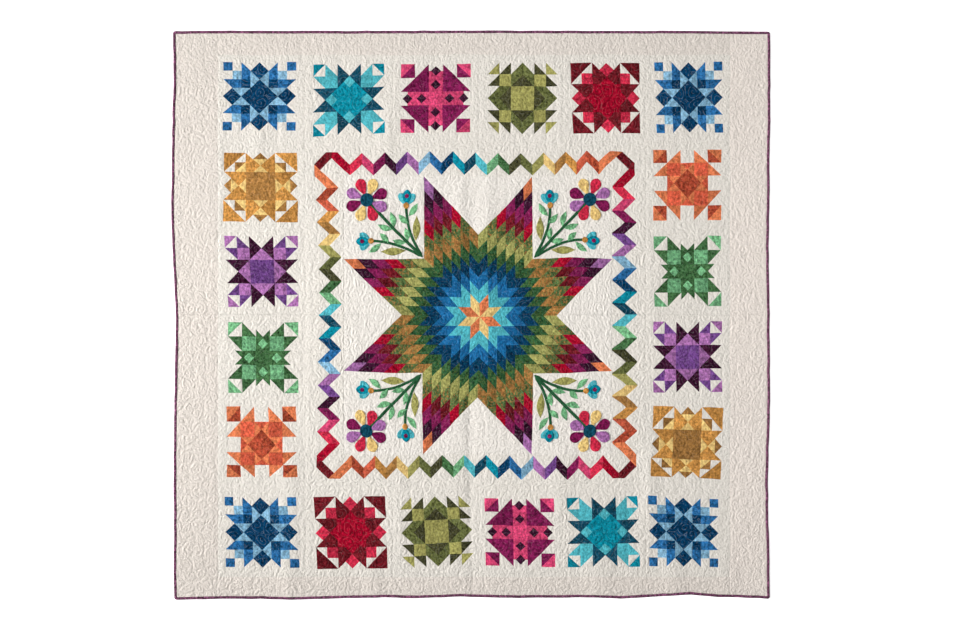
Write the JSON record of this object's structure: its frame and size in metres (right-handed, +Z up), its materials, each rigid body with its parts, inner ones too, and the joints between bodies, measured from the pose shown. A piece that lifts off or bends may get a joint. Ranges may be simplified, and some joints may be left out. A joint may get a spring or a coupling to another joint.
{
  "type": "patchwork quilt blanket",
  "caption": "Flat patchwork bed quilt with a large pieced star, a zigzag frame, a ring of pieced blocks, plain outer borders and a narrow bound edge.",
  "frame": {"origin": "middle of the underside, where the blanket rests on the floor", "axes": "+X to the right of the face and +Y to its top edge, as in the picture; +Z up out of the face"},
  "size_m": [2.132, 2.0275, 0.0087],
  "materials": {
    "plum_binding": "matt",
    "blue_patchwork": "matt",
    "teal_patchwork": "matt",
    "pink_patchwork": "matt",
    "olive_patchwork": "matt",
    "red_patchwork": "matt",
    "orange_patchwork": "matt",
    "green_patchwork": "matt",
    "purple_patchwork": "matt",
    "gold_patchwork": "matt",
    "beige_border": "matt",
    "applied_flowers": "matt",
    "star_patchwork": "matt",
    "cream_ground": "matt",
    "zigzag_patchwork": "matt"
  },
  "bodies": {
    "root": {"binding_e": "plum_binding", "binding_n": "plum_binding", "binding_s": "plum_binding", "binding_w": "plum_binding", "block_01_blue": "blue_patchwork", "block_02_teal": "teal_patchwork", "block_03_pink": "pink_patchwork", "block_04_olive": "olive_patchwork", "block_05_red": "red_patchwork", "block_06_blue": "blue_patchwork", "block_07_orange": "orange_patchwork", "block_08_green": "green_patchwork", "block_09_purple": "purple_patchwork", "block_10_gold": "gold_patchwork", "block_11_blue": "blue_patchwork", "block_12_teal": "teal_patchwork", "block_13_pink": "pink_patchwork", "block_14_olive": "olive_patchwork", "block_15_red": "red_patchwork", "block_16_blue": "blue_patchwork", "block_17_orange": "orange_patchwork", "block_18_green": "green_patchwork", "block_19_purple": "purple_patchwork", "block_20_gold": "gold_patchwork", "border_e": "beige_border", "border_n": "beige_border", "border_s": "beige_border", "border_w": "beige_border", "flower_spray_ne": "applied_flowers", "flower_spray_nw": "applied_flowers", "flower_spray_se": "applied_flowers", "flower_spray_sw": "applied_flowers", "star_point_1": "star_patchwork", "star_point_2": "star_patchwork", "star_point_3": "star_patchwork", "star_point_4": "star_patchwork", "star_point_5": "star_patchwork", "star_point_6": "star_patchwork", "star_point_7": "star_patchwork", "star_point_8": "star_patchwork", "star_square_ne": "cream_ground", "star_square_nw": "cream_ground", "star_square_se": "cream_ground", "star_square_sw": "cream_ground", "star_triangle_e": "cream_ground", "star_triangle_n": "cream_ground", "star_triangle_s": "cream_ground", "star_triangle_w": "cream_ground", "zigzag_e": "zigzag_patchwork", "zigzag_n": "zigzag_patchwork", "zigzag_s": "zigzag_patchwork", "zigzag_w": "zigzag_patchwork"}
  },
  "joints": []
}
